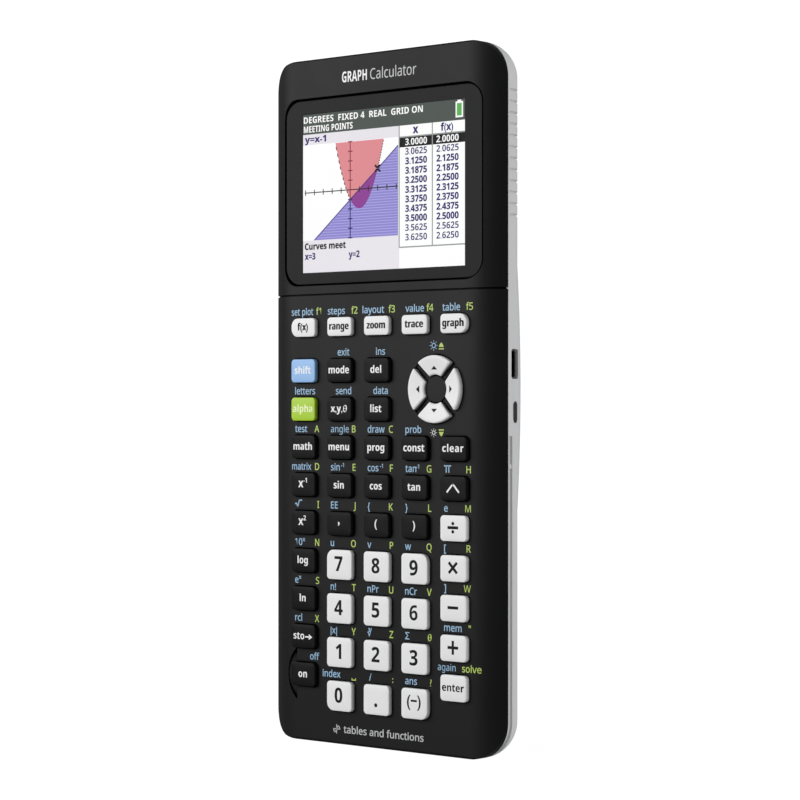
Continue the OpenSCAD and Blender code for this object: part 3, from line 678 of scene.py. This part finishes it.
def build_face_print():
    """Blue and green legends over the keys, the plain title, the foot line and the two icons."""
    blue, green, white = bmesh.new(), bmesh.new(), bmesh.new()
    z = face_z - 0.005
    for name, (finish, legend, above, letter) in KEYS.items():
        x, y, width, height, stem_z, top_z = key_frame(name)
        left, right, base = x - width / 2 + 0.4, x + width / 2 + 0.6, y + height / 2 + LEGEND_RISE
        style = dict(size=LEGEND_SIZE, bold=SMALL_BOLD)
        left += LEGEND_SHIFTS.get(above, 0.0)
        if name == "key_on":
            add_text(blue, above, right, base, z, align="right", **style)
        elif above.endswith("⁻¹"):
            add_text(blue, above[:3], left, base, z, align="left", **style)
            add_text(blue, "-1", left + 3.8 + 0.7 * (above[0] == "c"), base + 0.95, z, 1.6, bold=0.015,
                     align="left")
        elif above in DRAWN_SIGNS:
            add_sign(blue, above, left, base, z)
        elif above == "i":
            add_text(blue, above, left + 0.6, base, z, align="left", lean=0.3, **style)
        elif above and not letter and name not in ("key_alpha", "key_constants"):
            add_text(blue, above, x + 0.6, base, z, **style)
        elif above:
            add_text(blue, above, left, base, z, width=LEGEND_WIDTHS.get(above), align="left", **style)
        if letter:
            right += LETTER_SHIFTS.get(letter, 0.7 if letter[0] == "f" else 0.0)
            add_text(green, letter, right, base, z, align="right", **style)
    # brightness marks over and under the arrow pad
    x, y = pad_centre
    for centre_y, size, ink in ((y + 11.7, 0.72, blue), (y - 11.65, 0.58, white)):
        add_sun(ink, x - 0.9, centre_y, size, z)
    for centre_y, way in ((y + 11.5, 1), (y - 11.65, -1)):
        add_pointer(green, x + 1.75, centre_y, way, z)
    title_y = half_length - TITLE_DROP
    add_text(white, "GRAPH", -13.6, title_y, z, TITLE_SIZE, width=9.2, heavy=True, align="left")
    add_text(white, "Calculator", -3.2, title_y, z, TITLE_SIZE, width=16.6, align="left", material=1)
    add_foot_line(white, z)
    for bm, name, ink in ((blue, "legends_blue", [INK_BLUE]), (green, "legends_green", [INK_GREEN]),
                          (white, "legends_white", [INK_WHITE, INK_SILVER])):
        for vert in bm.verts:
            beyond = abs(vert.co.x) - FACE_HALF_WIDTH
            if beyond > 0:
                vert.co.z -= SHOULDER_RADIUS - math.sqrt(SHOULDER_RADIUS ** 2 - beyond ** 2)
        finish_piece(bm, name, ink, "case", smooth=0)


def add_sun(bm, x, y, size, z):
    """A small brightness mark: a ring with eight rays."""
    outer = arc_points((x, y), size, 0, 345, 23)
    inner = arc_points((x, y), size * 0.68, 0, 345, 23)
    for i in range(len(outer)):
        j = (i + 1) % len(outer)
        add_prism(bm, [inner[i], outer[i], outer[j], inner[j]], z, z + INK_DEPTH)
    for ray in range(8):
        a = math.radians(45 * ray)
        direction = Vector((math.cos(a), math.sin(a)))
        start, end = direction * size * 1.35, direction * size * 1.95
        add_stroke(bm, (x + start.x, y + start.y), (x + end.x, y + end.y), size * 0.22, z, z + INK_DEPTH)


def add_pointer(bm, x, y, way, z):
    """A small pointer with a bar: way is 1 for up and -1 for down."""
    head = [(x - 0.85, y - 0.25 * way), (x + 0.85, y - 0.25 * way), (x + 0.5, y + 0.5 * way),
            (x, y + 1.0 * way), (x - 0.5, y + 0.5 * way)]
    add_prism(bm, head if way > 0 else head[::-1], z, z + INK_DEPTH)
    bar = [(x - 0.9, y - 0.9), (x + 0.9, y - 0.9), (x + 0.9, y - 0.6), (x - 0.9, y - 0.6)]
    if way < 0:
        bar = [(px, 2 * y - py) for px, py in bar][::-1]
    add_prism(bm, bar, z, z + INK_DEPTH)


def add_foot_line(bm, z):
    """A plain pair of axes with a wave, and a line of words, near the bottom end."""
    x, y = -15.6, 4.2 - half_length
    add_stroke(bm, (x - 1.3, y), (x + 1.3, y), 0.25, z, z + INK_DEPTH, 1)
    add_stroke(bm, (x, y - 1.3), (x, y + 1.3), 0.25, z, z + INK_DEPTH, 1)
    wave = [(x + t / 10 * 1.25, y + 0.85 * math.sin(t / 10 * math.pi)) for t in range(-10, 11)]
    for start, end in zip(wave, wave[1:]):
        add_stroke(bm, start, end, 0.3, z, z + INK_DEPTH, 1)
    add_text(bm, "tables and functions", x + 2.6, y - 0.85, z, 2.75, width=29.0, bold=0.012,
             align="left", material=1)


# ---- Picture on the display ----

# The display is 320 by 240 dots; these places are in dots from its top left corner.
DOTS_ACROSS, DOTS_DOWN = 320, 240
PICTURE_WIDTH, PICTURE_HEIGHT = 59.0, 44.2
DOT = PICTURE_WIDTH / DOTS_ACROSS
LAYER = 0.012
STATUS_BOTTOM = 30
GRAPH_TOP, GRAPH_BOTTOM, GRAPH_RIGHT = 46, 191, 192
ORIGIN = (97, 118.6)
UNIT = (18.3, 14.4)
TABLE_LEFT, TABLE_MIDDLE, TABLE_BOTTOM = 194, 258, 209
ROW_TOP, ROW_PITCH = 48, 14
PICTURE = {
    "surround": srgb(233, 229, 236), "white": srgb(255, 255, 255), "status": srgb(76, 84, 80),
    "red": srgb(224, 140, 146), "blue": srgb(142, 134, 208), "hatch": srgb(176, 170, 228),
    "purple": srgb(140, 62, 146), "axis": srgb(38, 36, 46), "navy": srgb(44, 36, 110),
    "line": srgb(150, 154, 152),
    "black": srgb(8, 8, 10), "battery": srgb(92, 178, 84), "deep_red": srgb(140, 52, 66),
}


def picture_point(across, down):
    return (across - DOTS_ACROSS / 2) * DOT, picture_y + PICTURE_HEIGHT / 2 - down * DOT


def graph_point(x, y):
    return picture_point(ORIGIN[0] + x * UNIT[0], ORIGIN[1] - y * UNIT[1])


def curve(x):
    return (x - 1) ** 2 - 2


def line(x):
    return x - 1


def build_picture():
    bm = bmesh.new()
    shades = list(PICTURE)

    def level(layer):
        return window_high.z - 0.35 + layer * LAYER

    def top_of(layer):
        return level(layer + 0.9)

    def block(left, top, right, bottom, shade, layer):
        (x0, y0), (x1, y1) = picture_point(left, bottom), picture_point(right, top)
        corners = [(x0, y0), (x1, y0), (x1, y1), (x0, y1)]
        add_prism(bm, corners, level(layer), top_of(layer), shades.index(shade))

    def region(points, shade, layer):
        add_prism(bm, [graph_point(*p) for p in points], level(layer), top_of(layer), shades.index(shade))

    def stroke(start, end, width, shade, layer):
        add_stroke(bm, start, end, width * DOT, level(layer), top_of(layer), shades.index(shade))

    def words(text, across, down, size, shade, layer=8, align="left", width=None):
        x, y = picture_point(across, down)
        add_text(bm, text, x, y, level(layer), size * DOT, width=width * DOT if width else None, heavy=True,
                 bold=0.0 if shade == "white" else 0.02, align=align, material=shades.index(shade),
                 depth=0.9 * LAYER)

    block(0, 0, DOTS_ACROSS, DOTS_DOWN, "surround", 0)
    block(0, GRAPH_TOP, TABLE_LEFT, GRAPH_BOTTOM, "white", 1)
    block(TABLE_LEFT, STATUS_BOTTOM, DOTS_ACROSS, DOTS_DOWN, "white", 1)
    block(0, 0, DOTS_ACROSS, STATUS_BOTTOM, "status", 2)

    top, bottom = 5, (ORIGIN[1] - GRAPH_BOTTOM) / UNIT[1]
    right = (GRAPH_RIGHT - ORIGIN[0]) / UNIT[0]
    reach = math.sqrt(top + 2)
    steps = 24
    # the two curves meet at x = 0 and x = 3
    outside = [1 - reach + (reach - 1) * i / steps for i in range(steps + 1)]
    between = [3 * i / steps for i in range(steps + 1)]
    beyond = [3 + (reach - 2) * i / steps for i in range(steps + 1)]
    region([(bottom + 1, bottom), (right, bottom), (right, line(right))], "blue", 2)
    down = GRAPH_BOTTOM - 3
    while down > GRAPH_TOP:
        y = (ORIGIN[1] - down) / UNIT[1]
        if y + 1.1 < right:
            stroke(graph_point(y + 1.15, y), graph_point(right, y), 1.1, "hatch", 3)
        down -= 4
    region([(x, curve(x)) for x in outside + beyond], "red", 4)
    region([(x, curve(x)) for x in between], "purple", 5)
    for start, end in ((0, 1 - reach), (3, 1 + reach)):
        dashes = 22
        for i in range(0, dashes, 2):
            a = start + (end - start) * i / dashes
            b = start + (end - start) * (i + 1) / dashes
            stroke(graph_point(a, curve(a)), graph_point(b, curve(b)), 1.7, "axis", 6)
    stroke(graph_point(bottom + 1, bottom), graph_point(right, line(right)), 1.4, "navy", 6)
    stroke(graph_point(-5.1, 0), graph_point(right, 0), 1.6, "axis", 7)
    stroke(graph_point(0, top), graph_point(0, -1), 1.9, "deep_red", 7)
    stroke(graph_point(0, -1), graph_point(0, bottom), 1.9, "navy", 7)
    for tick in range(-5, 6):
        if tick:
            stroke(graph_point(tick, 0.3), graph_point(tick, -0.3), 1.7, "axis", 7)
            shade = "deep_red" if tick > 0 else "navy"
            stroke(graph_point(-0.25, tick), graph_point(0.25, tick), 1.7, shade, 7)
    x, y = ORIGIN[0] + 3 * UNIT[0], ORIGIN[1] - 2 * UNIT[1]
    for dx, dy in ((-4, -4), (4, -4), (-4, 4), (4, 4)):
        block(x + dx - 2, y + dy - 1.5, x + dx + 2, y + dy + 1.5, "black", 8)
        block(x + dx / 2 - 2, y + dy / 2 - 1.5, x + dx / 2 + 2, y + dy / 2 + 1.5, "black", 8)

    for across in (TABLE_LEFT, TABLE_MIDDLE):
        block(across - 1, STATUS_BOTTOM, across + 1, TABLE_BOTTOM, "line", 3)
    block(TABLE_LEFT, TABLE_BOTTOM - 1, DOTS_ACROSS, TABLE_BOTTOM + 1, "line", 3)
    block(TABLE_LEFT, ROW_TOP - 2, DOTS_ACROSS, ROW_TOP, "line", 3)
    block(TABLE_LEFT + 1, ROW_TOP, TABLE_MIDDLE - 1, ROW_TOP + ROW_PITCH, "black", 3)
    block(TABLE_MIDDLE + 1, ROW_TOP, DOTS_ACROSS, ROW_TOP + ROW_PITCH, "black", 3)
    columns = (TABLE_LEFT + 12, TABLE_MIDDLE + 8)
    words("x", columns[0] + 20, ROW_TOP - 5, 17, "navy", align="centre")
    words("f(x)", columns[1] + 20, ROW_TOP - 5, 15, "navy", align="centre")
    for row in range(11):
        value = 3 + row / 16
        for column, shown in zip(columns, (value, line(value))):
            shade = "white" if row == 0 else "navy"
            words(f"{shown:.4f}", column, ROW_TOP + ROW_PITCH * (row + 1) - 2.6, 13.5, shade, width=42)
    words("DEGREES  FIXED 4  REAL  GRID ON", 2, 13, 13.5, "white", width=238)
    words("MEETING POINTS", 2, 27, 13.5, "white", width=100)
    words("y=x-1", 4, 42.5, 13.5, "navy", width=44)
    words("Curves meet", 4, 205, 13.5, "black", width=84)
    words("x=3", 4, 220, 13.5, "navy", width=22)
    words("y=2", 94, 220, 13.5, "navy", width=22)
    block(302, 3, 316, 26, "white", 3)
    block(305.5, 0.8, 312.5, 3, "white", 3)
    block(304.5, 5.5, 313.5, 23.5, "battery", 4)
    materials = [picture_material(name, colour) for name, colour in PICTURE.items()]
    finish_piece(bm, "display_picture", materials, "case", smooth=0)


# ---- Side details ----

SOCKET_Z = 8.6
LIGHT_Y = -3.3
LIGHT_Z = 8.4
LIGHT_LENGTH, LIGHT_HEIGHT = 5.6, 1.9


def build_light_lens():
    """The dark face of the charging light, just under the surface of its slot."""
    radius = LIGHT_HEIGHT / 2
    outline = rounded_outline(LIGHT_LENGTH, LIGHT_HEIGHT, (radius,) * 4, steps=8)
    bm = bmesh.new()
    add_loft(bm, [(outline, 0.0), (outline, 0.3),
                  (rounded_outline(LIGHT_LENGTH, LIGHT_HEIGHT, (radius,) * 4, -0.08, 8), 0.36)])
    stand = Matrix(((0, 0, 1, half_width - 0.78), (1, 0, 0, LIGHT_Y), (0, 1, 0, LIGHT_Z), (0, 0, 0, 1)))
    bmesh.ops.transform(bm, matrix=stand, verts=bm.verts)
    finish_piece(bm, "light_lens", [LENS], "case")


def build_socket_tongue():
    """The contact strip in the middle of the socket: a dark tongue with five contacts under it."""
    back, front = half_width - SOCKET_DEPTH + 1.1, half_width - 2.0
    bm = bmesh.new()
    add_prism(bm, rounded_outline(front - back, 5.0, (0.2,) * 4), SOCKET_Z - 0.1, SOCKET_Z + 0.5)
    for i in range(-2, 3):
        add_prism(bm, [(-1.5, i - 0.2), (1.6, i - 0.2), (1.6, i + 0.2), (-1.5, i + 0.2)],
                  SOCKET_Z - 0.16, SOCKET_Z - 0.1, 1)
    bmesh.ops.translate(bm, vec=((front + back) / 2, SOCKET_Y, 0), verts=bm.verts)
    gold = plain_material("contact_gold", srgb(214, 176, 96), 0.3, metallic=1.0)
    finish_piece(bm, "socket_tongue", [INK_BLACK, gold], "case")


# ---- Carried-over CAD nodes ----

def dress(node_name, material):
    mesh = frame["nodes"][node_name].data
    mesh.materials.clear()
    mesh.materials.append(material)


def dress_cad():
    front = plain_material("front_plastic", FRONT_GREY, 0.45, grain=0.35, grain_depth=0.004, mottle=0.06,
                           specular=FRONT_SPECULAR, crevice=PAINTED_SHADE_GAP)
    rear = rear_material()
    dress("front_case", front)
    dress("rear_case", rear)
    dress("battery_cover", rear)
    dress("screen_window", window_material(PICTURE_WIDTH / 2 + 0.15, PICTURE_HEIGHT / 2 + 0.15, picture_y))
    dress("display_module", plain_material("display_tray", srgb(150, 152, 155), 0.35, metallic=0.9))
    dress("keypad_membrane", plain_material("silicone_sheet", srgb(176, 178, 176), 0.6, grain=0.8,
                                            grain_depth=0.01, specular=0.3))
    dress("main_board", board_material())
    dress("battery_pack", plain_material("battery_wrap", srgb(38, 84, 150), 0.3, coat=0.4, grain=1.2))
    dress("screws", plain_material("screw_steel", srgb(186, 187, 188), 0.3, metallic=1.0, grain=0.15,
                                   grain_depth=0.003))
    dress("reset_button", plain_material("reset_plastic", srgb(62, 62, 64), 0.5))


# ---- Stage ----

def area_light(name, location, target, size_x, size_y, radiance, mirrored=True):
    """A soft box; radiance is what its face looks like from the front."""
    light = bpy.data.lights.new(name, "AREA")
    light.shape = "RECTANGLE"
    light.size, light.size_y = size_x, size_y
    light.energy = radiance * math.pi * size_x * size_y
    lamp = bpy.data.objects.new(name, light)
    lamp.location = location
    lamp.rotation_euler = (Vector(target) - Vector(location)).to_track_quat("-Z", "Y").to_euler()
    lamp.visible_glossy = mirrored
    bpy.context.scene.collection.objects.link(lamp)


def build_stage():
    bm = bmesh.new()
    bmesh.ops.create_grid(bm, x_segments=8, y_segments=8, size=3.0)
    bmesh.ops.translate(bm, vec=(0, 0, -0.0001), verts=bm.verts)
    mesh = bpy.data.meshes.new("floor")
    bm.to_mesh(mesh)
    bm.free()
    floor = bpy.data.objects.new("floor", mesh)
    bpy.context.scene.collection.objects.link(floor)
    material, tree = new_material("floor_paper")
    place = node(tree, "TexCoord").outputs["Object"]
    paper = surface(tree, (0.8, 0.8, 0.8, 1), 0.9, place, grain=2.0, grain_depth=0.01, mottle=0.01,
                    specular=0.0)
    # brighter where the camera sees it, faint in reflections
    path = node(tree, "LightPath").outputs
    seen = node(tree, "MapRange", {"Value": path["Is Camera Ray"], "To Min": 0.95, "To Max": 1.16})
    dimmer = node(tree, "MapRange", {"Value": path["Is Glossy Ray"], "To Min": 1.0, "To Max": 0.1})
    strength = calculate(tree, "MULTIPLY", seen.outputs[0], dimmer.outputs[0])
    glow = node(tree, "Emission", {"Color": (1, 1, 1, 1), "Strength": strength}).outputs[0]
    output(tree, node(tree, "MixShader", {0: 0.82, 1: paper, 2: glow}).outputs[0])
    mesh.materials.append(material)

    world = bpy.data.worlds.new("studio")
    world.use_nodes = True
    tree = world.node_tree
    tree.nodes.clear()
    seen = node(tree, "Background", {"Color": (1, 1, 1, 1), "Strength": 1.0}).outputs[0]
    fill = node(tree, "Background", {"Color": (1, 1, 1, 1), "Strength": 0.16}).outputs[0]
    faint = node(tree, "Background", {"Color": (1, 1, 1, 1), "Strength": 0.05}).outputs[0]
    path = node(tree, "LightPath").outputs
    sky = node(tree, "MixShader", {0: path["Is Glossy Ray"], 1: fill, 2: faint}).outputs[0]
    sky = node(tree, "MixShader", {0: path["Is Camera Ray"], 1: sky, 2: seen}).outputs[0]
    node(tree, "OutputWorld", {"Surface": sky})
    bpy.context.scene.world = world

    area_light("soft_box_left", (-0.72, 0.34, 0.9), (0, 0.03, 0), 0.8, 1.2, 4.9)
    area_light("fill_right", (1.0, 0.0, 0.22), (0, 0, 0.01), 0.9, 0.5, 2.1, mirrored=False)
    bpy.context.scene.view_settings.view_transform = "Standard"


def build_camera():
    """Looks from the right and above, square to the length of the body."""
    camera = bpy.data.cameras.new("camera")
    camera.sensor_width = 36.0
    camera.lens = 112.9
    camera.shift_y = 0.011
    camera.clip_start = 0.01
    holder = bpy.data.objects.new("camera", camera)
    holder.location = (0.4533, -0.0024, 0.5286)
    holder.rotation_euler = (0, math.radians(41), 0)
    bpy.context.scene.collection.objects.link(holder)
    bpy.context.scene.camera = holder


picture_y = window_high.y - (window_high.y - window_low.y) / 2 - 0.3
arrow_boxes = [box_mm(name) for name in ARROWS]
pad_centre = (
    (min(low.x for low, high in arrow_boxes) + max(high.x for low, high in arrow_boxes)) / 2,
    (min(low.y for low, high in arrow_boxes) + max(high.y for low, high in arrow_boxes)) / 2,
)

dress_cad()
for key_name in KEYS:
    build_key(key_name)
    build_key_legend(key_name)
for arrow_name, arrow_turn in ARROWS.items():
    build_arrow(arrow_name, arrow_turn, pad_centre)
build_face_print()
build_picture()
build_socket_tongue()
build_light_lens()
build_stage()
build_camera()
